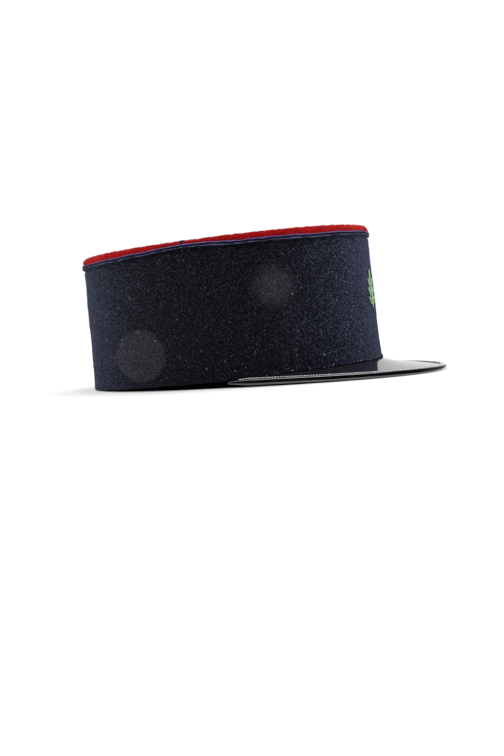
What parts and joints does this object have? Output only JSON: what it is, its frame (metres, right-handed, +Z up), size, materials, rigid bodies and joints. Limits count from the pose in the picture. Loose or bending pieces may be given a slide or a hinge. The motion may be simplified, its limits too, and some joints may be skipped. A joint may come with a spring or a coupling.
{
  "type": "kepi cap",
  "caption": "Stiff oval kepi cap of navy cloth with a red, slightly sunken top, braid trim, a leafy badge and a glossy black leather peak, worn on the head.",
  "frame": {"origin": "centre of the bounding box in X and Y, on the surface that the cap stands on", "axes": "+Z up, -Y towards the tip of the peak (the wearer's front), -X towards the wearer's right; the crown leans back about 2 degrees, because the cap stands on the rear of its rim and the tip of its peak"},
  "size_m": [0.1708, 0.2534, 0.1019],
  "materials": {
    "navy_cloth": "matt napped wool",
    "red_cloth": "matt napped wool",
    "navy_braid": "woven soutache with a soft sheen",
    "patent_leather": "high gloss patent",
    "patent_binding": "gloss patent",
    "green_thread": "satin-stitch embroidery"
  },
  "bodies": {
    "root": {"crown_wall": "navy_cloth", "crown_top": "red_cloth", "edge_braid": "navy_braid", "front_braid": "navy_braid", "back_braid": "navy_braid", "left_braid": "navy_braid", "right_braid": "navy_braid", "peak": "patent_leather", "peak_binding": "patent_binding", "emblem": "green_thread"}
  },
  "joints": []
}
